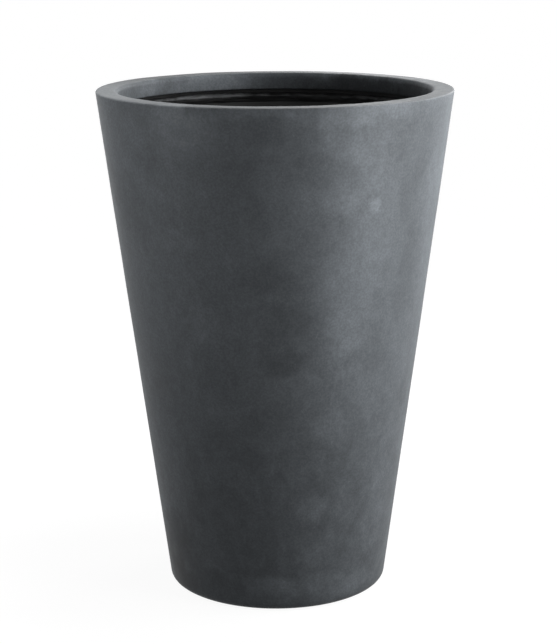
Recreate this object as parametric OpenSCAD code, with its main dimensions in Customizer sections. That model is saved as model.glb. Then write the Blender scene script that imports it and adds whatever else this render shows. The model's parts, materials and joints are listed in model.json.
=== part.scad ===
// Tall cone planter in glass-fibre reinforced cement, laid up by hand in a mould.
// Millimetres, +Z up, with the origin on the ground under the middle of the base.

/* [Body] */
// Height from the ground to the top of the rim
height = 700; // [400:10:1000]
// Diameter of the rim, before its outer edge is rounded
rim_d = 490; // [420:5:700]
// Diameter of the cone at the ground, before its edge is rounded
base_d = 305; // [220:5:420]
// Rounding of the edge round the base
base_edge_r = 12; // [6:1:20]

/* [Lip] */
// Width of the flat rim, from its outer edge to the mouth
lip_w = 31.5; // [29:0.5:60]
// Depth of the face that the rim turns down inside the mouth
lip_drop = 24; // [18:1:50]
// Rounding of the rim's outer edge
lip_edge_r = 2.5; // [2:0.5:5.5]
// Rounding of the rim's edge round the mouth
mouth_edge_r = 7; // [1:0.5:9]
// Rounding of the lower edge of the turned-down face
toe_r = 1.5; // [0.5:0.5:2.5]

/* [Layers] */
// Thickness of the pigmented cement face
face_t = 3; // [2:0.5:4]
// Thickness of the glass-fibre cement laminate behind the face
laminate_t = 7; // [5:0.5:8]
// Thickness of the black sealing coat inside
seal_t = 1.5; // [0.5:0.5:2.5]
// Height of the lap between wall and base laminate, above the rounded corner inside
base_lap = 22; // [10:2:60]
// Height of the lap between lip and wall laminate, below the underside of the rim
lip_lap = 45; // [20:5:90]
// Rounding of the corner between floor and wall inside
floor_corner_r = 18; // [8:1:40]

/* [Foot] */
// Width of the flat ring that the planter stands on
foot_w = 20; // [10:1:40]
// Height of the recess under the base, inside that ring
foot_h = 4; // [2.5:0.5:8]

/* [Stiffening hoop] */
// Height of the hoop bonded round the wall under the lip
hoop_h = 14; // [8:1:24]
// Reach of the hoop, inwards from the wall
hoop_reach = 9; // [5:0.5:12]
// Drop from the lip's lower edge to the top of the hoop
hoop_gap = 6; // [3:1:30]
// Size of the lumps in the hoop, as a share of its section
hoop_lumps = 0.16; // [0:0.02:0.3]

/* [Drain] */
// Diameter of the drain opening
drain_d = 26; // [16:1:40]
// Wall of the rubber bush that lines the drain hole
bush_wall = 4; // [3:0.5:6]
// Width of the bush's flange in the floor, beyond its wall
bush_flange_w = 8; // [4:0.5:14]
// Thickness of that flange
bush_flange_t = 3; // [2:0.5:4]
// Width of the bush's lower lip, beyond its wall
bush_lip_w = 3; // [2:0.5:6]
// Thickness of that lip
bush_lip_t = 1.5; // [1:0.5:2]

/* [Plug] */
// Radial clearance of the plug's ribs in the drain opening
plug_clearance = 0.08; // [0.02:0.02:0.1]
// Width of the plug's flange, beyond the drain opening
plug_flange_w = 7; // [3:0.5:10]
// Thickness of that flange
plug_flange_t = 3; // [2:0.5:5]
// Number of sealing ribs on the plug's stem
plug_ribs = 3; // [1:1:4]
// Depth of the grooves between the ribs
plug_groove = 1.6; // [0.5:0.1:2.5]
// Height of the pull knob above the flange
knob_h = 14; // [8:1:24]
// Diameter of the pull knob
knob_d = 20; // [12:1:26]

/* [Hidden] */
$fn = 180;

// The wall leans outwards by this much radius per millimetre of height.
lean = (rim_d - base_d) / 2 / height;
draft = atan(lean);
mouth_r = rim_d / 2 - lip_w;
mid_depth = face_t + laminate_t / 2;
inner_depth = face_t + laminate_t;
liner_depth = inner_depth + seal_t;

floor_z = foot_h + inner_depth;
drain_top_z = floor_z + seal_t;
rim_under_z = height - inner_depth;
toe_z = height - lip_drop;
lip_back_r = mouth_r + inner_depth;
wall_start_z = max(floor_z, base_edge_r);
base_lap_z = wall_start_z + floor_corner_r + base_lap;
lip_lap_z = rim_under_z - lip_lap;
foot_in_r = wall_r(base_edge_r, base_edge_r) - foot_w;
// A 45 degree step keeps its thickness when it is moved sideways by this share of it.
step_shift = tan(22.5);

bore_r = drain_d / 2;
bush_r = bore_r + bush_wall;
flange_r = bush_r + bush_flange_w;
flange_z = drain_top_z - bush_flange_t;
bush_bottom_z = foot_h - bush_lip_t;
bore_chamfer = 1;

hoop_z = toe_z - hoop_gap - hoop_h / 2;
// Film of resin between the hoop and the sealing coat.
hoop_film = 0.02;
hoop_stations = 120;
hoop_steps = 8;

FACE_GREY = [0.37, 0.39, 0.41];
LAMINATE_GREY = [0.58, 0.58, 0.55];
SEAL_BLACK = [0.09, 0.09, 0.09];
HOOP_BLACK = [0.16, 0.15, 0.15];
BUSH_RUBBER = [0.12, 0.12, 0.13];
PLUG_RUBBER = [0.2, 0.2, 0.21];

// Radius of the wall at a height, and at a depth square to its outer face.
function wall_r(z, depth = 0) = base_d / 2 + lean * z - depth / cos(draft);

function reverse(path) = [for (i = [len(path) - 1 : -1 : 0]) path[i]];

// Points along an arc in the section, or its sharp corner where the radius has run out.
function arc(centre, r, from, to, corner, steps = 8) =
    r < 0.1 ? [corner]
            : [for (i = [0 : steps])
                  let (a = from + (to - from) * i / steps)
                  [centre[0] + r * cos(a), centre[1] + r * sin(a)]];

// The underside at a depth in the base: recess, step and foot ring, out to the rounded edge.
function underside(depth, inner_r) = concat(
    [[inner_r, foot_h + depth],
     [foot_in_r - foot_h + depth * step_shift, foot_h + depth],
     [foot_in_r + depth * step_shift, depth]],
    arc([wall_r(base_edge_r, base_edge_r), base_edge_r], base_edge_r - depth,
        -90, -draft, [wall_r(depth, depth), depth]));

// The rim's rounded outer edge at a depth in the lip.
function outer_edge(depth) =
    arc([wall_r(height - lip_edge_r, lip_edge_r), height - lip_edge_r], lip_edge_r - depth,
        -draft, 90, [wall_r(height - depth, depth), height - depth]);

// The rim's edge round the mouth, at a depth in the lip.
function mouth_edge(depth) =
    arc([mouth_r + mouth_edge_r, height - mouth_edge_r], mouth_edge_r - depth,
        90, 180, [mouth_r + depth, height - depth]);

// The floor, its rounded corner and the wall up through some heights, behind the laminate.
function inside(behind, inner_r, heights) = concat(
    [[inner_r, floor_z + behind]],
    arc([wall_r(floor_z + floor_corner_r, inner_depth + floor_corner_r),
         floor_z + floor_corner_r],
        floor_corner_r - behind, -90, -draft,
        [wall_r(floor_z + behind, inner_depth + behind), floor_z + behind]),
    [for (z = heights) [wall_r(z, inner_depth + behind), z]]);

// The pigmented face: the whole outside, the rim and the face turned down inside the mouth.
module face_coat() {
    color(FACE_GREY)
    rotate_extrude()
    polygon(concat(
        underside(0, bush_r),
        outer_edge(0),
        mouth_edge(0),
        arc([mouth_r + toe_r, toe_z + toe_r], toe_r, 180, 270, [mouth_r, toe_z], 4),
        [[mouth_r + face_t, toe_z]],
        reverse(mouth_edge(face_t)),
        reverse(outer_edge(face_t)),
        reverse(underside(face_t, bush_r))));
}

// The wall's laminate, halved at each end to lap the base and the lip.
module wall_laminate() {
    color(LAMINATE_GREY)
    rotate_extrude()
    polygon(concat(
        [[wall_r(wall_start_z, face_t), wall_start_z]],
        outer_edge(face_t),
        [[wall_r(height - face_t, mid_depth), height - face_t],
         [wall_r(lip_lap_z, mid_depth), lip_lap_z],
         [wall_r(lip_lap_z, inner_depth), lip_lap_z],
         [wall_r(base_lap_z, inner_depth), base_lap_z],
         [wall_r(base_lap_z, mid_depth), base_lap_z],
         [wall_r(wall_start_z, mid_depth), wall_start_z]]));
}

// The lip's laminate: a leg lapped down the wall, the rim, and the turned-down return.
module lip_laminate() {
    color(LAMINATE_GREY)
    rotate_extrude()
    polygon(concat(
        [[wall_r(lip_lap_z, mid_depth), lip_lap_z],
         [wall_r(height - face_t, mid_depth), height - face_t]],
        mouth_edge(face_t),
        [[mouth_r + face_t, toe_z],
         [lip_back_r, toe_z],
         [lip_back_r, rim_under_z],
         [wall_r(rim_under_z, inner_depth), rim_under_z],
         [wall_r(lip_lap_z, inner_depth), lip_lap_z]]));
}

// The base's laminate, turned up inside the wall and let down for the bush's flange.
module base_laminate() {
    color(LAMINATE_GREY)
    rotate_extrude()
    polygon(concat(
        underside(face_t, bush_r),
        [[wall_r(wall_start_z, face_t), wall_start_z],
         [wall_r(wall_start_z, mid_depth), wall_start_z],
         [wall_r(base_lap_z, mid_depth), base_lap_z]],
        reverse(inside(0, flange_r, [base_lap_z])),
        [[flange_r, flange_z],
         [bush_r, flange_z]]));
}

// The black coat that seals floor, wall, the underside of the rim and the back of the return.
module seal_coat() {
    color(SEAL_BLACK)
    rotate_extrude()
    polygon(concat(
        inside(0, flange_r, [base_lap_z, lip_lap_z, rim_under_z]),
        [[lip_back_r, rim_under_z],
         [lip_back_r, toe_z],
         [lip_back_r + seal_t, toe_z],
         [lip_back_r + seal_t, rim_under_z - seal_t]],
        reverse(inside(seal_t, flange_r, [rim_under_z - seal_t]))));
}

// How lumpy the hand-laid roving is at an angle round the hoop, from -1 to 1.
function lump(angle) = 0.5 * sin(5 * angle + 20) + 0.3 * sin(13 * angle + 75) + 0.2 * sin(29 * angle);

// A point on the hoop's D-shaped section: turn runs from its lower edge, -90, to its upper, 90.
function hoop_point(angle, turn) =
    let (reach = hoop_reach * (1 + hoop_lumps * lump(angle)) * cos(turn),
         rise = hoop_h / 2 * (1 - hoop_lumps * (1 + lump(angle + 100)) / 2) * sin(turn),
         r = wall_r(hoop_z, liner_depth + hoop_film) + rise * sin(draft) - reach * cos(draft))
    [r * cos(angle), r * sin(angle), hoop_z + rise * cos(draft) + reach * sin(draft)];

// A bundle of glass roving, bonded round the inside of the wall to keep the rim round.
module stiffening_hoop() {
    row = hoop_steps + 1;
    count = hoop_stations * row;
    color(HOOP_BLACK)
    polyhedron(
        points = [for (i = [0 : hoop_stations - 1], j = [0 : hoop_steps])
                     hoop_point(360 * i / hoop_stations, 180 * j / hoop_steps - 90)],
        faces = [for (i = [0 : hoop_stations - 1], j = [0 : hoop_steps])
                    let (here = i * row + j,
                         up = i * row + (j + 1) % row,
                         next = (here + row) % count,
                         next_up = (up + row) % count)
                    each [[here, next_up, up], [here, next, next_up]]]);
}

// The rubber bush that lines the drain hole, held by its flange and its lower lip.
module drain_bush() {
    lip_r = bush_r + bush_lip_w;
    color(BUSH_RUBBER)
    rotate_extrude()
    polygon([[bore_r, bush_bottom_z],
             [lip_r, bush_bottom_z],
             [lip_r, foot_h],
             [bush_r, foot_h],
             [bush_r, flange_z],
             [flange_r, flange_z],
             [flange_r, drain_top_z],
             [bore_r + bore_chamfer, drain_top_z],
             [bore_r, drain_top_z - bore_chamfer]]);
}

// The plug's stem: a tapered nose and ribs that fill the bush, with grooves between them.
function plug_stem(rib_r) =
    let (groove_r = rib_r - plug_groove,
         pitch = (drain_top_z - bore_chamfer - bush_bottom_z) / plug_ribs)
    [for (i = [0 : plug_ribs - 1])
        let (z = bush_bottom_z + i * pitch)
        each [[groove_r, z], [rib_r, z + pitch * 0.35], [rib_r, z + pitch * 0.7],
              [groove_r, z + pitch * 0.85]]];

// The rubber plug, which pulls up out of the bush by its knob.
module drain_plug() {
    flange_edge = 0.8;
    waist_r = knob_d * 0.3;
    knob_r = knob_d / 2;
    cap_z = drain_top_z + plug_flange_t;
    knob_z = cap_z + knob_h;
    crown = knob_h * 0.25;
    plug_r = bore_r + plug_flange_w;
    color(PLUG_RUBBER)
    rotate_extrude()
    polygon(concat(
        [[0, bush_bottom_z]],
        plug_stem(bore_r - plug_clearance),
        [[bore_r - plug_clearance - plug_groove, drain_top_z],
         [plug_r - flange_edge, drain_top_z],
         [plug_r, drain_top_z + flange_edge],
         [plug_r, cap_z - flange_edge],
         [plug_r - flange_edge, cap_z],
         [waist_r + flange_edge, cap_z],
         [waist_r, cap_z + flange_edge],
         [waist_r, knob_z - 2 * crown]],
        arc([knob_r - crown, knob_z - crown], crown, -90, 90, [knob_r, knob_z]),
        [[0, knob_z]]));
}

face_coat();
wall_laminate();
lip_laminate();
base_laminate();
seal_coat();
stiffening_hoop();
drain_bush();
drain_plug();
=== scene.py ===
import json
import math

import bpy
from bpy.props import FloatProperty, FloatVectorProperty, IntProperty, PointerProperty
from mathutils import Matrix, Vector


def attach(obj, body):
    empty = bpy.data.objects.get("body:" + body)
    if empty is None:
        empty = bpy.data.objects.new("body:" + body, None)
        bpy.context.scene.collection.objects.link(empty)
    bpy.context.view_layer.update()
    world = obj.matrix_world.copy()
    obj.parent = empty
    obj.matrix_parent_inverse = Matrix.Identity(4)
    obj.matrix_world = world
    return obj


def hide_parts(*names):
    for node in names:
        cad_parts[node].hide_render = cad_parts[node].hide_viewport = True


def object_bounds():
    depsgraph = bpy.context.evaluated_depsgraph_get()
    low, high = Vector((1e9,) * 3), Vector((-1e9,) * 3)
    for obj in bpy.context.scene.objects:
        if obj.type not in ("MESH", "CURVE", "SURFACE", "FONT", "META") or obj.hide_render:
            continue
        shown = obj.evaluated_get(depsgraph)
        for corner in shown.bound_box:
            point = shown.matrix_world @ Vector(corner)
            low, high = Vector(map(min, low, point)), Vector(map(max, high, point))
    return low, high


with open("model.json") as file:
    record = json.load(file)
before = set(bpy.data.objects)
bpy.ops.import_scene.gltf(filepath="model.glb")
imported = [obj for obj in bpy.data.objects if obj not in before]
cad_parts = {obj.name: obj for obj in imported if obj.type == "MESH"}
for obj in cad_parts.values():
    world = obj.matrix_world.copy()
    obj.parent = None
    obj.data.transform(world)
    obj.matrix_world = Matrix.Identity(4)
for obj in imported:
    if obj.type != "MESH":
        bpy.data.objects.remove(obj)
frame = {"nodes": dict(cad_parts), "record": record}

bl_info = {
    "name": "Cone planter",
    "version": (1, 0, 0),
    "blender": (4, 5, 0),
    "location": "View3D > Sidebar > Planter",
    "description": "Makes a tall fibre-cement cone planter, its sealed inside, its drain and a plain studio",
    "category": "Object",
}

MM = 0.001
CAD_LOW, CAD_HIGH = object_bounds()
MOUTH = next(m for m in frame["record"]["mounts"] if m["name"] == "mouth")


# Settings

def length(name, description, default, **limits):
    return FloatProperty(name=name, description=description, default=default,
                         unit="LENGTH", subtype="DISTANCE", precision=4, **limits)


def colour(name, description, default):
    return FloatVectorProperty(name=name, description=description, default=default,
                               subtype="COLOR", size=3, min=0.0, max=1.0)


def share(name, description, default, high=1.0):
    return FloatProperty(name=name, description=description, default=default,
                         subtype="FACTOR", min=0.0, max=high)


def watts(name, description, default):
    return FloatProperty(name=name, description=description, default=default, min=0.0,
                         unit="POWER")


class PlanterSizes(bpy.types.PropertyGroup):
    """Sizes of the planter, as in the CAD frame."""
    height: length("Height", "Ground to the top of the rim", CAD_HIGH.z, min=0.3)
    rim: length("Rim Diameter", "Cone's diameter at the top, before its edge is rounded", 0.490)
    base: length("Base Diameter", "Cone's diameter at the ground, before its edge is rounded", 0.305)
    base_edge: length("Base Edge", "Rounding of the edge round the base", 0.012)
    mouth: length("Mouth Diameter", "Inner diameter of the turned-down lip",
                  2 * MM * MOUTH["dims"]["r_mm"])
    lip_drop: length("Lip Drop", "Depth of the face turned down inside the mouth", 0.024)
    lip_edge: length("Lip Edge", "Rounding of the rim's outer edge", 0.0025)
    mouth_edge: length("Mouth Edge", "Rounding of the rim's inner edge", 0.007)
    toe: length("Toe", "Rounding of the turned-down face's lower edge", 0.0015)
    face: length("Cement Face", "Thickness of the cement face", 0.003)
    laminate: length("Laminate", "Thickness of the laminate behind the face", 0.007)
    seal: length("Seal", "Thickness of the sealing coat", 0.0015)
    floor_corner: length("Floor Corner", "Rounding between floor and wall inside", 0.018)
    foot_width: length("Foot Width", "Width of the ring that the planter stands on", 0.020)
    foot_height: length("Foot Height", "Height of the recess under the base", 0.004)


class DrainSizes(bpy.types.PropertyGroup):
    """Sizes of the drain's rubber bush and plug."""
    bore: length("Bore", "Diameter of the drain opening", 0.026)
    bush_wall: length("Bush Wall", "Wall of the bush", 0.004)
    bush_flange: length("Bush Flange", "Width of the bush's flange", 0.008)
    flange_thickness: length("Flange Thickness", "Thickness of the bush's flange", 0.003)
    bush_lip: length("Bush Lip", "Width of the bush's lower lip", 0.003)
    lip_thickness: length("Lip Thickness", "Thickness of the bush's lower lip", 0.0015)
    plug_flange: length("Plug Flange", "Width of the plug's flange", 0.007)
    plug_thickness: length("Plug Thickness", "Thickness of the plug's flange", 0.003)
    clearance: length("Clearance", "Radial clearance of the plug's ribs", 0.00008)
    groove: length("Groove", "Depth of the grooves between the ribs", 0.0016)
    ribs: IntProperty(name="Ribs", description="Sealing ribs on the stem", default=3, min=1)
    knob: length("Knob", "Diameter of the pull knob", 0.020)
    knob_height: length("Knob Height", "Height of the knob above the flange", 0.014)


class HoopSizes(bpy.types.PropertyGroup):
    """Sizes of the roving hoop under the lip."""
    gap: length("Gap", "Drop from the lip's lower edge to the hoop", 0.006)
    height: length("Height", "Height of the hoop", 0.014)
    reach: length("Reach", "Farthest that the hoop stands off the wall", 0.0104)
    lumps: length("Lumps", "How deep the hollows between the lumps are", 0.0042)
    lump_size: length("Lump Size", "Distance from lump to lump", 0.030)
    high: length("High", "How far the hoop's fullest part is above its middle", 0.0022)
    strand_depth: length("Strand Depth", "Depth of the grooves between the strands", 0.0005)
    strands: IntProperty(name="Strands", description="Strands across the section", default=7)


class CementFinish(bpy.types.PropertyGroup):
    """Colours and texture of the cement face."""
    tone: colour("Tone", "Main colour of the cement", (0.1305, 0.143, 0.1553))
    clouds: share("Clouds", "Contrast of the soft clouds", 1.15, high=3.0)
    mottle: share("Mottle", "Contrast of the fine mottling", 0.85, high=3.0)
    calm: share("Calm", "Contrast of clouds and mottling near the rim", 0.55)
    sand: share("Sand", "Contrast of the coarser sanded grain", 0.10)
    wisps: share("Wisps", "Strength of the thin pale wisps", 0.10)
    # Stains scales the patches of both wall tables, and so their painted light and shade as well as their
    # real stain.
    stains_and_painted_light: share("Stains", "Strength of the blooms and stains", 1.15, high=3.0)
    lift: share("Lift", "How much paler the cement is at the rim than at the base", 0.30)
    # Painted light: Sanded Lip and its tint make the rim's flat top paler and warmer than the wall, standing
    # in for the light that falls on it from above.
    sanded: share("Sanded Lip", "Tone of the sanded lip against the wall's", 1.55, high=3.0)
    lip_light_tint: colour("Sanded Tint", "Tint of the sanded lip over the main colour",
                        (1.0, 0.965, 0.930))
    cloud: length("Cloud Size", "Width of the soft clouds", 0.065)
    drift: length("Drift Size", "Width of the large changes in tone", 0.20)
    grain: length("Grain Size", "Size of the sanded grain", 0.0012)
    roughness: share("Roughness", "Roughness of the cement", 0.60)
    shine: share("Shine", "Strength of the cement's reflections", 0.20)
    unevenness: length("Unevenness", "How far the hand-finished face wanders", 0.0004)


class LiningFinish(bpy.types.PropertyGroup):
    """Colours of the black inside."""
    seal: colour("Seal", "Colour of the sealing coat", (0.030, 0.0309, 0.0314))
    resin: colour("Resin", "Colour of the hoop's resin", (0.030, 0.0306, 0.0312))
    # Painted highlight: the grey of the thin line where light catches the hoop's upper face.
    hoop_highlight: colour("Resin Bloom", "Colour of the hoop where its resin is thin",
                  (0.30, 0.31, 0.32))
    rubber: colour("Rubber", "Colour of the bush and plug", (0.022, 0.022, 0.023))
    laminate: colour("Laminate", "Colour of the bare laminate", (0.30, 0.295, 0.275))


class StudioSetup(bpy.types.PropertyGroup):
    """The camera's place, and the level of each light in watts."""
    camera: FloatVectorProperty(name="Camera", description="Place of the camera",
                                default=(0.0, -2.5345, 0.9646), subtype="TRANSLATION")
    lens: FloatProperty(name="Lens", description="Focal length on a 36 mm frame",
                        default=103.45, unit="CAMERA", min=10.0)
    pitch: FloatProperty(name="Pitch", description="Tilt of the camera below the horizon",
                         default=math.radians(13.172), subtype="ANGLE")
    yaw: FloatProperty(name="Yaw", description="Turn of the camera to the right",
                       default=math.radians(0.073), subtype="ANGLE")
    roll: FloatProperty(name="Roll", description="Roll of the camera",
                        default=math.radians(-0.3), subtype="ANGLE")
    ambient: share("Ambient", "Light of the room from all round", 0.0)
    key: watts("Key Softbox", "Tall softbox square on to the right side", 12.9)
    back: watts("Back Softbox", "Tall softbox behind, on the right", 7.5)
    right: watts("Right Panel", "Small panel in front, on the right", 4.4)
    left: watts("Left Panel", "Small panel in front, on the left", 1.6)
    edge: watts("Edge Strip", "Strip far behind, on the left", 1.4)
    low_edge: watts("Low Edge Panel", "Panel low down behind, on the left", 0.06)
    lip_left: watts("Lip Lamp Left", "Narrow lamp over the left end of the lip", 0.11)
    lip_front_left: watts("Lip Lamp Front Left", "Narrow lamp over the lip's front left", 0.068)
    lip_front_right: watts("Lip Lamp Front Right", "Narrow lamp over the lip's front right", 0.03)
    lip_right: watts("Lip Lamp Right", "Narrow lamp over the right end of the lip", 0.04)
    lip_back: watts("Lip Lamp Back", "Narrow lamp low down behind, across the lip's back", 0.075)


GROUPS = {
    "planter_sizes": PlanterSizes,
    "planter_drain": DrainSizes,
    "planter_hoop": HoopSizes,
    "planter_cement": CementFinish,
    "planter_lining": LiningFinish,
    "planter_studio": StudioSetup,
}


# Node trees

# The middle range of a noise, over which one look fades into the next.
NOISE_LOW, NOISE_HIGH = 0.3, 0.7


def put(tree, kind, inputs=None, **settings):
    """Adds a node, applies its settings, and sets or links its inputs."""
    node = tree.nodes.new(kind)
    for key, value in settings.items():
        setattr(node, key, value)
    for key, value in (inputs or {}).items():
        if isinstance(value, bpy.types.NodeSocket):
            tree.links.new(value, node.inputs[key])
        else:
            node.inputs[key].default_value = value
    return node


def reckon(tree, operation, *values):
    """The output of one Math node."""
    node = put(tree, "ShaderNodeMath", dict(enumerate(values)), operation=operation)
    return node.outputs[0]


def spread(tree, value, low, high, new_low=0.0, new_high=1.0):
    """A value carried smoothly from one range to another, and held at its ends."""
    return put(tree, "ShaderNodeMapRange",
               {"Value": value, "From Min": low, "From Max": high,
                "To Min": new_low, "To Max": new_high},
               interpolation_type="SMOOTHSTEP").outputs["Result"]


def turning_tree():
    """Turns a section round the upright axis, and wears its surface away unevenly."""
    touching = 0.00001
    wander_seed, wander_scale, wander_share = 7.0, 14.0, 0.4
    tree = bpy.data.node_groups.new("Turn section", "GeometryNodeTree")
    sockets = tree.interface
    sockets.new_socket("Section", in_out="INPUT", socket_type="NodeSocketGeometry")
    for name, kind, value in (
            ("Stations", "NodeSocketInt", 360),
            ("Unevenness", "NodeSocketFloat", 0.0),
            ("Patch Size", "NodeSocketFloat", 0.05),
            ("Strand Depth", "NodeSocketFloat", 0.0),
            ("Strands", "NodeSocketInt", 1),
            ("Seed", "NodeSocketInt", 1)):
        sockets.new_socket(name, in_out="INPUT", socket_type=kind).default_value = value
    sockets.new_socket("Finish", in_out="INPUT", socket_type="NodeSocketMaterial")
    sockets.new_socket("Piece", in_out="OUTPUT", socket_type="NodeSocketGeometry")
    given = put(tree, "NodeGroupInput").outputs

    # A grid with a column of vertices for each station, taken from the section's points.
    points = put(tree, "GeometryNodeAttributeDomainSize", {"Geometry": given["Section"]},
                 component="MESH").outputs["Point Count"]
    columns = reckon(tree, "ADD", given["Stations"], 1)
    grid = put(tree, "GeometryNodeMeshGrid",
               {"Vertices X": columns, "Vertices Y": points}).outputs["Mesh"]
    index = put(tree, "GeometryNodeInputIndex").outputs["Index"]
    station = reckon(tree, "FLOOR", reckon(tree, "DIVIDE", reckon(tree, "ADD", index, 0.5), points))
    point = reckon(tree, "SUBTRACT", index, reckon(tree, "MULTIPLY", station, points))
    place = put(tree, "GeometryNodeInputPosition").outputs["Position"]
    spot = put(tree, "GeometryNodeSampleIndex",
               {"Geometry": given["Section"], "Value": place, "Index": point},
               data_type="FLOAT_VECTOR", domain="POINT").outputs["Value"]
    split = put(tree, "ShaderNodeSeparateXYZ", {"Vector": spot}).outputs
    angle = reckon(tree, "DIVIDE", reckon(tree, "MULTIPLY", station, 2 * math.pi),
                   given["Stations"])
    turned = put(tree, "ShaderNodeCombineXYZ", {
        "X": reckon(tree, "MULTIPLY", split["X"], reckon(tree, "COSINE", angle)),
        "Y": reckon(tree, "MULTIPLY", split["X"], reckon(tree, "SINE", angle)),
        "Z": split["Z"]}).outputs["Vector"]
    shape = put(tree, "GeometryNodeSetPosition",
                {"Geometry": grid, "Position": turned}).outputs["Geometry"]

    # How free each point of the section is to wander, and its share of the way round it.
    for name, value in (
            ("play", put(tree, "GeometryNodeInputNamedAttribute", {"Name": "play"},
                         data_type="FLOAT").outputs["Attribute"]),
            ("way", reckon(tree, "DIVIDE", put(tree, "GeometryNodeInputIndex").outputs["Index"],
                           points))):
        sampled = put(tree, "GeometryNodeSampleIndex",
                      {"Geometry": given["Section"], "Value": value, "Index": point},
                      data_type="FLOAT", domain="POINT").outputs["Value"]
        shape = put(tree, "GeometryNodeStoreNamedAttribute",
                    {"Geometry": shape, "Name": name, "Value": sampled},
                    data_type="FLOAT", domain="POINT").outputs["Geometry"]
    shape = put(tree, "GeometryNodeMergeByDistance",
                {"Geometry": shape, "Distance": touching}).outputs["Geometry"]

    # Hollows by noise, and grooves between strands that wander along the hoop.
    play = put(tree, "GeometryNodeInputNamedAttribute", {"Name": "play"},
               data_type="FLOAT").outputs["Attribute"]
    way = put(tree, "GeometryNodeInputNamedAttribute", {"Name": "way"},
              data_type="FLOAT").outputs["Attribute"]
    patchy = put(tree, "ShaderNodeTexNoise", {
        "Vector": place, "W": given["Seed"], "Detail": 3.0, "Roughness": 0.45,
        "Scale": reckon(tree, "DIVIDE", 1.0, given["Patch Size"])},
        noise_dimensions="4D").outputs["Fac"]
    hollow = reckon(tree, "MULTIPLY", spread(tree, patchy, NOISE_LOW, NOISE_HIGH),
                    given["Unevenness"])
    wander = put(tree, "ShaderNodeTexNoise", {
        "Vector": place, "W": wander_seed, "Scale": wander_scale, "Detail": 1.0},
        noise_dimensions="4D").outputs["Fac"]
    phase = reckon(tree, "MULTIPLY",
                   reckon(tree, "ADD", way, reckon(tree, "MULTIPLY", wander, wander_share)),
                   reckon(tree, "MULTIPLY", given["Strands"], 2 * math.pi))
    groove = reckon(tree, "MULTIPLY",
                    reckon(tree, "MULTIPLY_ADD", reckon(tree, "SINE", phase), 0.5, 0.5),
                    given["Strand Depth"])
    depth = reckon(tree, "MULTIPLY", reckon(tree, "ADD", hollow, groove), play)
    normal = put(tree, "GeometryNodeInputNormal").outputs["Normal"]
    inwards = put(tree, "ShaderNodeVectorMath",
                  {0: normal, "Scale": reckon(tree, "MULTIPLY", depth, -1.0)},
                  operation="SCALE").outputs["Vector"]
    shape = put(tree, "GeometryNodeSetPosition",
                {"Geometry": shape, "Offset": inwards}).outputs["Geometry"]

    shape = put(tree, "GeometryNodeSetShadeSmooth", {"Geometry": shape}).outputs["Geometry"]
    shape = put(tree, "GeometryNodeRealizeInstances", {"Geometry": shape}).outputs["Geometry"]
    shape = put(tree, "GeometryNodeSetMaterial",
                {"Geometry": shape, "Material": given["Finish"]}).outputs["Geometry"]
    put(tree, "NodeGroupOutput", {"Piece": shape})
    return tree


# Places

def wall_radius(sizes, z, depth=0.0):
    """Radius of the cone at a height, and at a depth square to its face."""
    lean = (sizes.rim - sizes.base) / 2 / sizes.height
    return sizes.base / 2 + lean * z - depth * math.sqrt(1 + lean * lean)


def around(azimuth, reach, z):
    """A place so many degrees to the right of the camera's side of the upright axis."""
    turned = math.radians(azimuth)
    return Vector((reach * math.sin(turned), -reach * math.cos(turned), z))


# Sections

def rounded(corners, closed=True, steps=7):
    """Points (r, z, play) of a section. A corner is (r, z, rounding, play, span), where span is
    the longest step from it to the next corner."""
    points = []
    count = len(corners)
    spots = [Vector(c[:2]) for c in corners]
    for i, (r, z, rounding, play, _) in enumerate(corners):
        spot = spots[i]
        if rounding == 0 or (not closed and i in (0, count - 1)):
            points.append([(r, z, play)])
            continue
        back = (spots[i - 1] - spot).normalized()
        ahead = (spots[(i + 1) % count] - spot).normalized()
        half = back.angle(ahead) / 2
        cut = rounding / math.tan(half)
        centre = spot + (back + ahead).normalized() * (rounding / math.sin(half))
        start = spot + back * cut - centre
        sweep = start.angle_signed(spot + ahead * cut - centre)
        points.append([
            (*(centre + Matrix.Rotation(-sweep * k / steps, 2) @ start), play)
            for k in range(steps + 1)])
    line = []
    for i, run in enumerate(points):
        line += run
        if not closed and i == count - 1:
            break
        here, there = run[-1], points[(i + 1) % count][0]
        span = corners[i][4]
        pieces = max(1, math.ceil(math.dist(here[:2], there[:2]) / span))
        line += [tuple(a + (b - a) * k / pieces for a, b in zip(here, there))
                 for k in range(1, pieces)]
    if closed:
        line.append(line[0])
    return line


def turn(name, line, finish, body, nodes, stations, unevenness=0.0, patch=0.05,
         strand_depth=0.0, strands=1, seed=1):
    """Makes one piece by turning a section, as a plain mesh that rides on its body."""
    mesh = bpy.data.meshes.new(name)
    mesh.from_pydata([(r, 0.0, z) for r, z, _ in line],
                     [(i, i + 1) for i in range(len(line) - 1)], [])
    play = mesh.attributes.new("play", "FLOAT", "POINT")
    play.data.foreach_set("value", [p for _, _, p in line])
    piece = bpy.data.objects.new(name, mesh)
    bpy.context.scene.collection.objects.link(piece)
    tree = bpy.data.node_groups.get("Turn section") or turning_tree()
    modifier = piece.modifiers.new("Turning", "NODES")
    modifier.node_group = tree
    identifiers = {s.name: s.identifier for s in tree.interface.items_tree
                   if s.in_out == "INPUT"}
    for key, value in {"Stations": stations, "Unevenness": unevenness, "Patch Size": patch,
                       "Strand Depth": strand_depth, "Strands": strands, "Seed": seed,
                       "Finish": finish}.items():
        modifier[identifiers[key]] = value
    evaluated = piece.evaluated_get(bpy.context.evaluated_depsgraph_get())
    made = bpy.data.meshes.new_from_object(evaluated)
    piece.modifiers.remove(modifier)
    piece.data = made
    made.name = name
    bpy.data.meshes.remove(mesh)
    for attribute in ("play", "way"):
        made.attributes.remove(made.attributes[attribute])
    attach(piece, body)
    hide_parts(*nodes)


# Finishes

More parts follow.
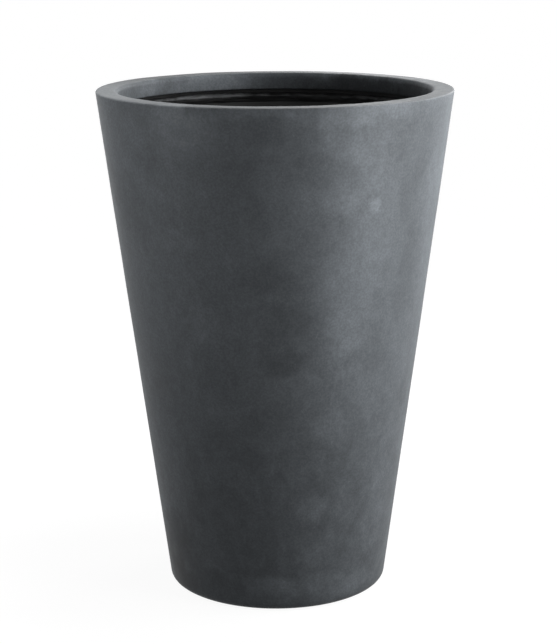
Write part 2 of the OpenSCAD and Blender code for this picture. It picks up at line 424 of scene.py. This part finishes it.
def surface(name):
    """A new material's tree, its shader, and its object coordinates."""
    material = bpy.data.materials.new(name)
    material.use_nodes = True
    tree = material.node_tree
    shader = tree.nodes["Principled BSDF"]
    where = put(tree, "ShaderNodeTexCoord").outputs["Object"]
    return material, tree, shader, where


def noise(tree, where, size, detail=2.0, roughness=0.5, seed=0.0, stretch=(1, 1, 1)):
    """Noise whose features are about size metres across."""
    vector = put(tree, "ShaderNodeMapping", {"Vector": where, "Scale": stretch},
                 vector_type="POINT").outputs["Vector"]
    return put(tree, "ShaderNodeTexNoise",
               {"Vector": vector, "W": seed, "Scale": 1.0 / size, "Detail": detail,
                "Roughness": roughness}, noise_dimensions="4D").outputs["Fac"]


def blend(tree, factor, first, second):
    """Two colours mixed by a factor. The Mix node's colours are inputs 6 and 7, and output 2."""
    node = put(tree, "ShaderNodeMix", {"Factor": factor}, data_type="RGBA")
    for index, value in ((6, first), (7, second)):
        if isinstance(value, bpy.types.NodeSocket):
            tree.links.new(value, node.inputs[index])
        else:
            node.inputs[index].default_value = (*value[:3], 1.0)
    return node.outputs[2]


def bump(tree, height, strength, distance, under=None):
    """A bump's normal, laid over another's."""
    inputs = {"Height": height, "Strength": strength, "Distance": distance}
    if under is not None:
        inputs["Normal"] = under
    return put(tree, "ShaderNodeBump", inputs).outputs["Normal"]


# Patches on the wall, given one by one: degrees to the right of the front, height, half width, half height,
# and how much paler (or, below 0, darker) than the wall about them. Most are real stain and mottling, but
# some are painted light and shade. The pale rows from 16 to 39 degrees between 0.27 and 0.69 m high are a
# painted highlight for the key light's bright band on the right. The pale row at 138 degrees is a painted
# highlight on the back of the rim's top. The pale rows at -80 and -82 degrees are painted edge light. The
# darker rows from 52 to 55 degrees between 0.46 and 0.64 m high, and those within 5 degrees of the front
# between 0.37 and 0.48 m high, are painted shade. The darker rows from -40 to -74 degrees at or below 0.1 m
# are painted shade at the base's left. The pale rows from -4 to 32 degrees below 0.04 m are a painted
# reflection of the floor on the base's lower edge. With 77 rows here the renderer showed the cement black,
# so they are kept well below that.
WALL_STAINS_AND_LIGHT = (
    (-30, 0.670, 0.045, 0.035, 0.30),
    # Painted highlight: the top of the key light's bright band, as are the rows at 16 and 24 degrees below.
    (28, 0.690, 0.080, 0.020, 0.30),
    # Painted highlight on the back right of the rim's top.
    (138, 0.706, 0.130, 0.011, 0.48),
    (16, 0.670, 0.020, 0.025, 0.20),
    (-30, 0.688, 0.045, 0.010, 0.14),
    (24, 0.650, 0.045, 0.030, 0.20),
    (-8, 0.695, 0.060, 0.008, 0.20),
    # Painted highlight: the key light's bright band on the right, down to 0.3 m.
    (18, 0.580, 0.040, 0.020, 0.16),
    (36, 0.570, 0.010, 0.010, 0.30),
    (27, 0.600, 0.045, 0.050, 0.10),
    (27, 0.480, 0.050, 0.120, 0.22),
    (26, 0.390, 0.035, 0.050, 0.18),
    (30, 0.325, 0.040, 0.025, 0.13),
    (-37, 0.520, 0.035, 0.015, 0.15),
    (-25, 0.410, 0.035, 0.035, 0.14),
    # Painted edge light at the left.
    (-82, 0.420, 0.020, 0.090, 0.30),
    (-80, 0.310, 0.020, 0.060, 0.20),
    # Painted shade in the dip beside the key light's bright band.
    (52, 0.640, 0.040, 0.060, -0.14),
    (54, 0.570, 0.035, 0.050, -0.12),
    (55, 0.460, 0.030, 0.070, -0.20),
    (-47, 0.620, 0.025, 0.025, -0.18),
    (-62, 0.560, 0.040, 0.050, -0.16),
    (-52, 0.550, 0.025, 0.040, -0.12),
    (-72, 0.590, 0.030, 0.030, -0.14),
    (-3, 0.670, 0.030, 0.015, -0.16),
    (-13, 0.620, 0.025, 0.020, -0.12),
    (9, 0.635, 0.010, 0.015, -0.14),
    (-6, 0.560, 0.015, 0.050, -0.14),
    # Painted shade near the front, all but the row at 14 degrees.
    (-3, 0.480, 0.030, 0.025, -0.28),
    (5, 0.465, 0.020, 0.015, -0.14),
    (14, 0.400, 0.020, 0.020, -0.14),
    (3, 0.420, 0.035, 0.030, -0.28),
    (1, 0.370, 0.030, 0.025, -0.38),
    (-22, 0.290, 0.030, 0.025, 0.14),
    # Painted highlight: the foot of the key light's bright band.
    (23, 0.270, 0.028, 0.025, 0.24),
    (39, 0.290, 0.012, 0.020, 0.14),
    (-8, 0.270, 0.020, 0.018, -0.16),
    (-12, 0.225, 0.024, 0.015, -0.18),
    (2, 0.200, 0.010, 0.012, -0.20),
    (-37, 0.210, 0.015, 0.020, -0.14),
    (-35, 0.170, 0.025, 0.020, -0.16),
    (-38, 0.135, 0.018, 0.020, -0.18),
    (-6, 0.170, 0.015, 0.015, -0.14),
    (17, 0.150, 0.025, 0.016, 0.26),
    (22, 0.140, 0.015, 0.030, 0.15),
    (20, 0.105, 0.030, 0.030, 0.12),
    (34, 0.145, 0.018, 0.025, 0.14),
    # Painted reflection of the floor on the base's lower edge.
    (-4, 0.035, 0.035, 0.018, 0.36),
    (4, 0.020, 0.020, 0.012, 0.28),
    (16, 0.035, 0.030, 0.015, 0.12),
    (32, 0.030, 0.050, 0.022, 0.24),
    # Painted shade at the base's left.
    (-55, 0.100, 0.035, 0.030, -0.22),
    (-62, 0.070, 0.040, 0.050, -0.50),
    (-74, 0.060, 0.025, 0.050, -0.30),
    (-60, 0.020, 0.040, 0.030, -0.90),
    (-45, 0.070, 0.025, 0.030, -0.18),
    (-40, 0.030, 0.035, 0.030, -0.28),
    (54, 0.060, 0.020, 0.025, -0.16),
)

# The same for the face turned down inside the mouth: the paler rows on its left are partly real mottling and
# partly painted light, and the darker rows on its right are painted shade.
LIP_MOTTLE_LIGHT_AND_SHADE = (
    # Partly real mottling, partly painted light on the left.
    (-150, 0.690, 0.065, 0.030, 0.34),
    (-124, 0.686, 0.030, 0.018, 0.40),
    (-155, 0.688, 0.040, 0.014, 0.24),
    # Painted shade on the right.
    (172, 0.678, 0.045, 0.022, -0.16),
    (145, 0.678, 0.070, 0.020, -0.60),
    (110, 0.678, 0.070, 0.020, -0.60),
)

# The hoop's painted highlight, a thin grey line where light catches its upper face, and how strong each
# piece of it is.
HOOP_HIGHLIGHTS = (
    (-153, 0.6673, 0.075, 0.0028, 1.0),
    (-130, 0.6610, 0.030, 0.0016, 0.5),
    (176, 0.6665, 0.008, 0.0020, 0.5),
    (152, 0.6655, 0.006, 0.0020, 0.5),
    (140, 0.6655, 0.008, 0.0020, 0.6),
)


def stains_and_painted_light(tree, where, ragged, rows, reach):
    """The sum of some pale or dark patches with ragged edges, which are real stain or painted light and
    shade. The reach at a height is given.
    """
    edge, core = 1.4, 0.4
    total = 0.0
    for degrees, z, half_width, half_height, strength in rows:
        middle = around(degrees, reach(z), z)
        scale = (1 / half_width, 1 / half_width, 1 / half_height)
        place = put(tree, "ShaderNodeMapping", {
            "Vector": where, "Scale": scale,
            "Location": [-m * k for m, k in zip(middle, scale)]}).outputs["Vector"]
        far = put(tree, "ShaderNodeVectorMath", {0: place}, operation="LENGTH").outputs["Value"]
        far = reckon(tree, "ADD", far, ragged)
        total = reckon(tree, "ADD", spread(tree, far, edge, core, 0.0, strength), total)
    return total


# The cement's texture: sizes as shares of a cloud's, shares of the tone, ranges of height as
# shares of the planter's, and lengths in metres.
MOTTLE_SIZE, STROKE_SIZE, RIDGE_SIZE = 0.25, 0.4, 1.2
STROKE_SHARE, DRIFT_SHARE = 0.25, 0.4
SWAY_SCALE, SWAY_REACH = 14.0, 0.05
RAGGED_SIZE, RAGGED_DEPTH = 0.03, 1.5
CALM_START, CALM_END, LOW_CONTRAST = 0.1, 0.7, 1.06
GRAIN_DARK, GRAIN_PALE = 0.94, 1.06
INSIDE_FULL, INSIDE_END = 0.002, 0.016
# Depths below the rim over which the lip's painted light fades in.
LIP_START, LIP_FULL = 0.0020, 0.0004


def cement_finish(cement, sizes):
    """Sanded, through-coloured fibre cement with soft clouds, faint strokes and fine grain."""
    material, tree, shader, where = surface("Sanded fibre cement")
    sway = put(tree, "ShaderNodeTexNoise", {
        "Vector": where, "Scale": SWAY_SCALE, "Detail": 4.0, "Roughness": 0.6}).outputs["Color"]
    sway = put(tree, "ShaderNodeVectorMath", {0: sway, 1: (0.5, 0.5, 0.5)},
               operation="SUBTRACT").outputs["Vector"]
    swayed = put(tree, "ShaderNodeVectorMath", {0: sway, 1: (SWAY_REACH,) * 3, 2: where},
                 operation="MULTIPLY_ADD").outputs["Vector"]

    def swing(fac):
        return reckon(tree, "SUBTRACT", fac, 0.5)

    drift = swing(noise(tree, where, cement.drift, detail=1.0, seed=3.0, stretch=(1, 1, 0.7)))
    cloud = swing(noise(tree, swayed, cement.cloud, detail=7.0, roughness=0.62, seed=11.0,
                        stretch=(1, 1, 0.8)))
    mottle = swing(noise(tree, swayed, cement.cloud * MOTTLE_SIZE, detail=4.0, roughness=0.65,
                         seed=17.0, stretch=(1, 1, 0.8)))
    stroke = swing(noise(tree, swayed, cement.cloud * STROKE_SIZE, detail=3.0, seed=23.0,
                         stretch=(1, 1, 0.3)))
    ridge = swing(noise(tree, swayed, cement.cloud * RIDGE_SIZE, detail=4.0, roughness=0.5,
                        seed=53.0, stretch=(1, 1, 0.6)))
    ragged = reckon(tree, "MULTIPLY", swing(noise(
        tree, where, RAGGED_SIZE, detail=6.0, roughness=0.7, seed=61.0)), RAGGED_DEPTH)
    grain = noise(tree, where, cement.grain, detail=2.0, roughness=0.7, seed=31.0)
    speck = noise(tree, where, cement.grain * 2, detail=0.0, seed=37.0)
    wisp = reckon(tree, "MULTIPLY",
                  spread(tree, reckon(tree, "ABSOLUTE", ridge), 0.03, 0.0, 0.0, cement.wisps),
                  spread(tree, drift, 0.0, 0.15))
    height = put(tree, "ShaderNodeSeparateXYZ", {"Vector": where}).outputs["Z"]
    texture = reckon(tree, "MULTIPLY", cloud, cement.clouds)
    texture = reckon(tree, "MULTIPLY_ADD", mottle, cement.mottle, texture)
    texture = reckon(tree, "MULTIPLY_ADD", stroke, STROKE_SHARE, texture)
    texture = reckon(tree, "MULTIPLY", texture, spread(
        tree, height, sizes.height * CALM_START, sizes.height * CALM_END, LOW_CONTRAST,
        cement.calm))
    tone = reckon(tree, "MULTIPLY_ADD", drift, DRIFT_SHARE, texture)
    tone = reckon(tree, "ADD", tone, wisp)
    flat = put(tree, "ShaderNodeVectorMath", {0: where, 1: (1.0, 1.0, 0.0)},
               operation="MULTIPLY").outputs["Vector"]
    reach = put(tree, "ShaderNodeVectorMath", {0: flat}, operation="LENGTH").outputs["Value"]
    inside = spread(tree, reach, sizes.mouth / 2 + INSIDE_FULL, sizes.mouth / 2 + INSIDE_END,
                    1.0, 0.0)
    # The wall's patches, and inside the mouth the turned-down face's too: real stain and mottling, with
    # painted light and shade.
    stain_and_light = reckon(
        tree, "MULTIPLY_ADD", inside,
        stains_and_painted_light(tree, swayed, ragged, LIP_MOTTLE_LIGHT_AND_SHADE, lambda z: sizes.mouth / 2),
        stains_and_painted_light(tree, swayed, ragged, WALL_STAINS_AND_LIGHT, lambda z: wall_radius(sizes, z)))
    tone = reckon(tree, "MULTIPLY_ADD", stain_and_light, cement.stains_and_painted_light, tone)
    level = reckon(tree, "EXPONENT", tone)
    # Paler towards the rim and darker towards the base, by Lift.
    paler_towards_rim = put(tree, "ShaderNodeMapRange", {
        "Value": height, "From Max": sizes.height, "To Min": 1 - cement.lift / 2,
        "To Max": 1 + cement.lift / 2}).outputs["Result"]
    # Painted light: the rim's flat top blends into the paler, warmer lip tone.
    lip = spread(tree, height, sizes.height - LIP_START, sizes.height - LIP_FULL)
    level = reckon(tree, "MULTIPLY", level, paler_towards_rim)
    level = reckon(tree, "MULTIPLY", level, spread(
        tree, grain, 0.25, 0.75, GRAIN_DARK, GRAIN_PALE))
    level = reckon(tree, "MULTIPLY", level, spread(
        tree, speck, 0.25, 0.75, 1 - cement.sand, 1 + cement.sand))
    # Tone of the lip's painted light, paler and warmer than the wall's.
    sanded = [t * k * cement.sanded for t, k in zip(cement.tone, cement.lip_light_tint)]
    toned = put(tree, "ShaderNodeVectorMath",
                {0: blend(tree, lip, cement.tone, sanded), "Scale": level},
                operation="SCALE").outputs["Vector"]
    tree.links.new(toned, shader.inputs["Base Color"])
    rough = reckon(tree, "MULTIPLY_ADD", cloud, 0.15, cement.roughness)
    tree.links.new(rough, shader.inputs["Roughness"])
    pores = spread(tree, speck, 0.74, 0.80)
    fine = bump(tree, grain, 0.2, 0.0002)
    holes = bump(tree, reckon(tree, "MULTIPLY", pores, -1.0), 0.4, 0.0004, fine)
    trowel = bump(tree, stroke, 0.05, 0.003, holes)
    tree.links.new(trowel, shader.inputs["Normal"])
    shader.inputs["Specular IOR Level"].default_value = cement.shine
    return material


def sealer_finish(lining):
    """Black bituminous coat, brushed on round the inside."""
    material, tree, shader, where = surface("Black sealing coat")
    brushed = noise(tree, where, 0.012, detail=3.0, seed=5.0, stretch=(1, 1, 3.2))
    patch = noise(tree, where, 0.07, detail=2.0, seed=9.0)
    shade = blend(tree, spread(tree, patch, 0.35, 0.7), lining.seal,
                  [c * 1.2 for c in lining.seal])
    tree.links.new(shade, shader.inputs["Base Color"])
    rough = spread(tree, patch, NOISE_LOW, NOISE_HIGH, 0.80, 0.90)
    tree.links.new(rough, shader.inputs["Roughness"])
    tree.links.new(bump(tree, brushed, 0.2, 0.0006), shader.inputs["Normal"])
    shader.inputs["Specular IOR Level"].default_value = 0.9
    return material


def roving_finish(lining, reach):
    """Glass roving soaked in black resin, with a painted grey highlight along its upper face."""
    material, tree, shader, where = surface("Resin-soaked roving")
    fibre = noise(tree, where, 0.002, detail=3.0, seed=13.0, stretch=(1, 1, 2.5))
    patch = noise(tree, where, 0.020, detail=3.0, seed=17.0)
    ragged = reckon(tree, "MULTIPLY", reckon(tree, "SUBTRACT", patch, 0.5), 2.0)
    # Painted highlight along the hoop's upper face.
    highlight_mask = stains_and_painted_light(tree, where, ragged, HOOP_HIGHLIGHTS, reach)
    shade = blend(tree, highlight_mask, lining.resin, lining.hoop_highlight)
    tree.links.new(shade, shader.inputs["Base Color"])
    rough = spread(tree, patch, NOISE_LOW, NOISE_HIGH, 0.60, 0.75)
    tree.links.new(rough, shader.inputs["Roughness"])
    tree.links.new(bump(tree, fibre, 0.3, 0.0005), shader.inputs["Normal"])
    shader.inputs["Specular IOR Level"].default_value = 0.5
    return material


def rubber_finish(lining):
    """Matt moulded rubber with a dusty bloom."""
    material, tree, shader, where = surface("Moulded rubber")
    dust = noise(tree, where, 0.006, detail=3.0, seed=19.0)
    skin = noise(tree, where, 0.0006, detail=1.0, seed=29.0)
    shade = blend(tree, spread(tree, dust, 0.45, 0.8), lining.rubber,
                  [c * 1.8 for c in lining.rubber])
    tree.links.new(shade, shader.inputs["Base Color"])
    rough = spread(tree, dust, NOISE_LOW, NOISE_HIGH, 0.5, 0.68)
    tree.links.new(rough, shader.inputs["Roughness"])
    tree.links.new(bump(tree, skin, 0.3, 0.0002), shader.inputs["Normal"])
    shader.inputs["Specular IOR Level"].default_value = 0.4
    return material


def laminate_finish(lining):
    """Bare glass-fibre cement with a nap of chopped strands."""
    material, tree, shader, where = surface("Bare laminate")
    strands = noise(tree, where, 0.004, detail=3.0, seed=41.0, stretch=(1, 4, 1))
    cross = noise(tree, where, 0.004, detail=3.0, seed=43.0, stretch=(4, 1, 1))
    nap = reckon(tree, "MAXIMUM", strands, cross)
    shade = blend(tree, spread(tree, nap, 0.45, 0.75), [c * 0.75 for c in lining.laminate],
                  lining.laminate)
    tree.links.new(shade, shader.inputs["Base Color"])
    tree.links.new(bump(tree, nap, 0.6, 0.0010), shader.inputs["Normal"])
    shader.inputs["Roughness"].default_value = 0.85
    return material


# Operators

class PLANTER_OT_shell(bpy.types.Operator):
    """Makes the cement face: wall, foot ring, rim and turned-down lip"""
    bl_idname = "planter.make_shell"
    bl_label = "Make Cement Shell"

    def execute(self, context):
        s = context.scene.planter_sizes
        drain = context.scene.planter_drain
        cement = context.scene.planter_cement
        hole = drain.bore / 2 + drain.bush_wall
        foot = wall_radius(s, s.base_edge, s.base_edge) - s.foot_width
        slope = math.radians(45)
        step = s.face * math.tan(slope / 2)
        mouth = s.mouth / 2
        toe = s.height - s.lip_drop
        inner = s.height - s.face
        fine, coarse = 0.007, 0.05
        line = rounded([
            (hole, s.foot_height, 0, 0, 0.012),
            (foot - s.foot_height, s.foot_height, 0.001, 0, fine),
            (foot, 0, 0.001, 0, fine),
            (s.base / 2, 0, s.base_edge, 0.3, fine),
            (s.rim / 2, s.height, s.lip_edge, 1, fine),
            (mouth, s.height, s.mouth_edge, 1, 0.004),
            (mouth, toe, s.toe, 0.6, fine),
            (mouth + s.face, toe, 0, 0, fine),
            (mouth + s.face, inner, s.mouth_edge - s.face, 0, coarse),
            (wall_radius(s, inner, s.face), inner, 0, 0, coarse),
            (wall_radius(s, s.face, s.face), s.face, s.base_edge - s.face, 0, coarse),
            (foot + step, s.face, 0, 0, coarse),
            (foot - s.foot_height + step, s.foot_height + s.face, 0, 0, coarse),
            (hole, s.foot_height + s.face, 0, 0, coarse)])
        turn("cement_shell", line, cement_finish(cement, s), "planter", ["face_coat"],
             stations=384, unevenness=cement.unevenness, patch=0.09, seed=2)
        return {"FINISHED"}


class PLANTER_OT_lining(bpy.types.Operator):
    """Makes the black sealing coat inside"""
    bl_idname = "planter.make_lining"
    bl_label = "Make Sealing Coat"

    def execute(self, context):
        s = context.scene.planter_sizes
        drain = context.scene.planter_drain
        back = s.face + s.laminate
        floor = s.foot_height + back
        under = s.height - back
        hole = drain.bore / 2 + drain.bush_wall + drain.bush_flange
        lip = s.mouth / 2 + back
        toe = s.height - s.lip_drop
        face = back + s.seal
        line = rounded([
            (hole, floor, 0, 0, 0.05),
            (wall_radius(s, floor, back), floor, s.floor_corner, 0, 0.05),
            (wall_radius(s, under, back), under, 0, 0, 0.05),
            (lip, under, 0, 0, 0.02),
            (lip, toe, 0, 0, 0.02),
            (lip + s.seal, toe, 0, 0, 0.004),
            (lip + s.seal, under - s.seal, 0.001, 0.2, 0.004),
            (wall_radius(s, under - s.seal, face), under - s.seal, 0.001, 0.2, 0.006),
            (wall_radius(s, floor + s.seal, face), floor + s.seal,
             s.floor_corner - s.seal, 1, 0.006),
            (hole, floor + s.seal, 0, 0, 0.05)])
        turn("sealing_coat", line, sealer_finish(context.scene.planter_lining), "planter",
             ["seal_coat"], stations=300, unevenness=0.0009, patch=0.03, seed=4)
        return {"FINISHED"}


class PLANTER_OT_hoop(bpy.types.Operator):
    """Makes the lumpy hoop of roving under the lip"""
    bl_idname = "planter.make_hoop"
    bl_label = "Make Roving Hoop"

    def execute(self, context):
        s = context.scene.planter_sizes
        hoop = context.scene.planter_hoop
        lean = math.atan((s.rim - s.base) / 2 / s.height)
        middle = s.height - s.lip_drop - hoop.gap - hoop.height / 2
        back = s.face + s.laminate + s.seal
        centre = Vector((wall_radius(s, middle, back), middle))
        inwards = Vector((-math.cos(lean), math.sin(lean)))
        upwards = Vector((math.sin(lean), math.cos(lean)))
        arc_steps, back_steps = 26, 4
        line = []
        for k in range(arc_steps + 1):
            turned = math.pi / 2 - math.pi * k / arc_steps
            out = math.cos(turned)
            spot = (centre + inwards * (hoop.reach * out)
                    + upwards * (hoop.height / 2 * math.sin(turned) + hoop.high * out * out))
            line.append((*spot, min(1.0, 2.5 * math.cos(turned))))
        for k in range(1, back_steps + 1):
            spot = centre + upwards * hoop.height * (k / back_steps - 0.5)
            line.append((*spot, 0.0))
        finish = roving_finish(context.scene.planter_lining,
                               lambda z: wall_radius(s, z, back) - hoop.reach * 0.8)
        turn("roving_hoop", line, finish, "planter", ["stiffening_hoop"],
             stations=600, unevenness=hoop.lumps, patch=hoop.lump_size,
             strand_depth=hoop.strand_depth, strands=hoop.strands, seed=6)
        return {"FINISHED"}


class PLANTER_OT_drain(bpy.types.Operator):
    """Makes the rubber bush and the plug that pulls out of it"""
    bl_idname = "planter.make_drain"
    bl_label = "Make Drain Bush and Plug"

    def execute(self, context):
        s = context.scene.planter_sizes
        d = context.scene.planter_drain
        rubber = rubber_finish(context.scene.planter_lining)
        bore = d.bore / 2
        hole = bore + d.bush_wall
        top = s.foot_height + s.face + s.laminate + s.seal
        bottom = s.foot_height - d.lip_thickness
        under = top - d.flange_thickness
        small = 0.0006
        chamfer, chamfer_edge = 0.001, 0.0004
        span = 0.003
        line = rounded([
            (bore, bottom, small, 0, span),
            (hole + d.bush_lip, bottom, small, 0, span),
            (hole + d.bush_lip, s.foot_height, 0, 0, span),
            (hole, s.foot_height, 0, 0, span),
            (hole, under, 0, 0, span),
            (hole + d.bush_flange, under, 0, 0, span),
            (hole + d.bush_flange, top, small, 0, span),
            (bore + chamfer, top, chamfer_edge, 0, span),
            (bore, top - chamfer, chamfer_edge, 0, span)], steps=4)
        turn("drain_bush_moulding", line, rubber, "planter", ["drain_bush"],
             stations=120)

        rib = bore - d.clearance
        groove = rib - d.groove
        pitch = (top - chamfer - bottom) / d.ribs
        cap = top + d.plug_thickness
        rim = bore + d.plug_flange
        knob = d.knob / 2
        waist = d.knob * 0.3
        knob_top = cap + d.knob_height
        crown = d.knob_height / 4
        corners = [(0, bottom, 0, 0, span)]
        for i in range(d.ribs):
            z = bottom + i * pitch
            corners += [(groove, z, 0.0002, 0, span),
                        (rib, z + pitch * 0.35, 0.0004, 0, span),
                        (rib, z + pitch * 0.70, 0.0004, 0, span),
                        (groove, z + pitch * 0.85, 0.0002, 0, span)]
        corners += [(groove, top, 0, 0, span),
                    (rim, top, 0.0008, 0, span),
                    (rim, cap, 0.0008, 0, span),
                    (waist, cap, 0.0018, 0, span),
                    (waist, knob_top - 2 * crown, 0.0010, 0, span),
                    (knob, knob_top - 2 * crown, crown * 0.99, 0, span),
                    (knob, knob_top, crown * 0.99, 0, span),
                    (knob * 0.45, knob_top, 0.0010, 0, span),
                    (knob * 0.40, knob_top - 0.0006, 0.0010, 0, span),
                    (0, knob_top - 0.0006, 0, 0, span)]
        turn("drain_plug_moulding", rounded(corners, closed=False, steps=5), rubber, "plug",
             ["drain_plug"], stations=96)
        return {"FINISHED"}


class PLANTER_OT_laminates(bpy.types.Operator):
    """Gives the hidden laminates their bare, hairy finish"""
    bl_idname = "planter.finish_laminates"
    bl_label = "Finish Laminates"

    def execute(self, context):
        finish = laminate_finish(context.scene.planter_lining)
        for name in ("wall_laminate", "lip_laminate", "base_laminate"):
            node = frame["nodes"][name]
            if not node.data.materials:
                node.data.materials.append(finish)
            for slot in node.material_slots:
                slot.material = finish
        return {"FINISHED"}


class PLANTER_OT_stage(bpy.types.Operator):
    """Makes the pale floor, the studio's lights and the camera"""
    bl_idname = "planter.make_stage"
    bl_label = "Make Studio"

    def execute(self, context):
        scene = context.scene
        studio = scene.planter_studio
        make_floor()
        make_world(studio)
        for name, azimuth, place, aim, face, beam in LAMPS:
            soft_light(name, getattr(studio, name), around(azimuth, *place),
                       around(azimuth, *aim), face, math.radians(beam))
        make_camera(scene, studio)
        scene.view_settings.view_transform = "Standard"
        return {"FINISHED"}


def soft_light(name, level, place, aim, face, beam):
    """A rectangular area light, kept out of the camera's sight."""
    data = bpy.data.lights.new(name, "AREA")
    data.energy = level
    data.shape = "RECTANGLE"
    data.size, data.size_y = face
    data.spread = beam
    light = bpy.data.objects.new(name, data)
    light.location = place
    light.rotation_mode = "QUATERNION"
    light.rotation_quaternion = (aim - Vector(place)).to_track_quat("-Z", "Y")
    light.visible_camera = False
    bpy.context.scene.collection.objects.link(light)


def seen_directly(tree):
    """1 for rays from the camera, from gloss and through glass, and 0 for the others."""
    path = put(tree, "ShaderNodeLightPath").outputs
    direct = reckon(tree, "ADD", path["Is Camera Ray"], path["Is Glossy Ray"])
    node = put(tree, "ShaderNodeMath", {0: direct, 1: path["Is Transmission Ray"]},
               operation="ADD", use_clamp=True)
    return node.outputs[0]


def make_floor():
    """A round pale floor, which shows white and keeps the planter's soft shadow."""
    mesh = bpy.data.meshes.new("floor")
    rings = [0.0, 0.4, 1.0, 2.0, 4.0, 30.0]
    sides = 96
    near, clear, shaded = 0.25, 0.7, 0.93
    grey = 0.12
    points = [(0.0, 0.0, 0.0)]
    for r in rings[1:]:
        points += [(r * math.cos(2 * math.pi * k / sides), r * math.sin(2 * math.pi * k / sides),
                    0.0) for k in range(sides)]
    faces = [(0, 1 + k, 1 + (k + 1) % sides) for k in range(sides)]
    for ring in range(len(rings) - 2):
        low, high = 1 + ring * sides, 1 + (ring + 1) * sides
        faces += [(low + k, high + k, high + (k + 1) % sides, low + (k + 1) % sides)
                  for k in range(sides)]
    mesh.from_pydata(points, [], faces)
    floor = bpy.data.objects.new("floor", mesh)
    bpy.context.scene.collection.objects.link(floor)
    material = bpy.data.materials.new("Pale floor")
    material.use_nodes = True
    tree = material.node_tree
    tree.nodes.clear()
    where = put(tree, "ShaderNodeTexCoord").outputs["Object"]
    distance = put(tree, "ShaderNodeVectorMath", {0: where}, operation="LENGTH").outputs["Value"]
    glow = spread(tree, distance, near, clear, shaded, 1.0)
    matt = put(tree, "ShaderNodeBsdfDiffuse", {"Color": (grey, grey, grey, 1.0)})
    shine = put(tree, "ShaderNodeEmission",
                {"Color": (1.0, 1.0, 1.0, 1.0),
                 "Strength": reckon(tree, "MULTIPLY", glow, seen_directly(tree))})
    both = put(tree, "ShaderNodeAddShader", {0: matt.outputs[0], 1: shine.outputs[0]})
    put(tree, "ShaderNodeOutputMaterial", {"Surface": both.outputs[0]})
    mesh.materials.append(material)


def make_world(studio):
    """White where it is seen, and a dim even room for the rest of the light."""
    scene = bpy.context.scene
    if scene.world is None:
        scene.world = bpy.data.worlds.new("Studio")
    scene.world.use_nodes = True
    tree = scene.world.node_tree
    tree.nodes.clear()
    strength = put(tree, "ShaderNodeMapRange",
                   {"Value": seen_directly(tree), "To Min": studio.ambient, "To Max": 1.0})
    back = put(tree, "ShaderNodeBackground", {"Color": (1.0, 1.0, 1.0, 1.0),
                                              "Strength": strength.outputs["Result"]})
    put(tree, "ShaderNodeOutputWorld", {"Surface": back.outputs[0]})


def make_camera(scene, studio):
    """The camera, placed and turned as fitted to the planter's outline."""
    data = bpy.data.cameras.new("camera")
    data.lens = studio.lens
    data.sensor_width = 36.0
    data.clip_start, data.clip_end = 0.05, 100.0
    camera = bpy.data.objects.new("camera", data)
    scene.collection.objects.link(camera)
    ahead = Vector((math.sin(studio.yaw) * math.cos(studio.pitch),
                    math.cos(studio.yaw) * math.cos(studio.pitch), -math.sin(studio.pitch)))
    right = ahead.cross(Vector((0, 0, 1))).normalized()
    up = right.cross(ahead)
    c, s = math.cos(studio.roll), math.sin(studio.roll)
    right, up = c * right + s * up, c * up - s * right
    turned = Matrix((right, up, -ahead)).transposed().to_4x4()
    camera.matrix_world = Matrix.Translation(studio.camera) @ turned
    scene.camera = camera


# Lamp, degrees to the right of the camera's side, reach and height of its place and of the spot
# that it aims at, width and height of its face, and the spread of its beam in degrees.
LAMPS = (
    ("key", 90, (1.3, 1.0), (0.0, 0.38), (0.7, 1.0), 180),
    ("back", 140, (1.3, 1.0), (0.0, 0.38), (0.7, 1.0), 180),
    ("right", 55, (0.9, 0.62), (0.0, 0.38), (0.4, 0.4), 180),
    ("left", -60, (0.9, 0.62), (0.0, 0.38), (0.4, 0.4), 180),
    ("edge", -150, (1.2, 0.6), (0.0, 0.38), (0.4, 0.8), 180),
    ("low_edge", -135, (1.2, 0.3), (0.0, 0.38), (0.4, 0.5), 180),
    ("lip_left", -90, (0.3, 1.15), (0.229, 0.7), (0.15, 0.15), 55),
    ("lip_front_left", -50, (0.3, 1.15), (0.229, 0.7), (0.15, 0.15), 55),
    ("lip_front_right", 50, (0.3, 1.15), (0.229, 0.7), (0.15, 0.15), 55),
    ("lip_right", 90, (0.3, 1.15), (0.229, 0.7), (0.15, 0.15), 55),
    ("lip_back", 173, (1.2, 0.95), (0.2, 0.7), (0.3, 0.1), 40),
)

OPERATORS = (PLANTER_OT_shell, PLANTER_OT_lining, PLANTER_OT_hoop, PLANTER_OT_drain,
             PLANTER_OT_laminates, PLANTER_OT_stage)


class VIEW3D_PT_planter(bpy.types.Panel):
    """Lists the planter's settings and its operators"""
    bl_label = "Cone Planter"
    bl_space_type = "VIEW_3D"
    bl_region_type = "UI"
    bl_category = "Planter"

    def draw(self, context):
        for name, group in GROUPS.items():
            box = self.layout.box()
            box.label(text=group.__doc__)
            settings = getattr(context.scene, name)
            for key in group.__annotations__:
                box.prop(settings, key)
        for operator in OPERATORS:
            self.layout.operator(operator.bl_idname)


def register():
    for cls in (*GROUPS.values(), *OPERATORS, VIEW3D_PT_planter):
        bpy.utils.register_class(cls)
    for name, group in GROUPS.items():
        setattr(bpy.types.Scene, name, PointerProperty(type=group))


def unregister():
    for name in GROUPS:
        delattr(bpy.types.Scene, name)
    for cls in reversed((*GROUPS.values(), *OPERATORS, VIEW3D_PT_planter)):
        bpy.utils.unregister_class(cls)


def main():
    register()
    for operator in OPERATORS:
        group, name = operator.bl_idname.split(".")
        getattr(getattr(bpy.ops, group), name)()


if __name__ == "__main__":
    main()
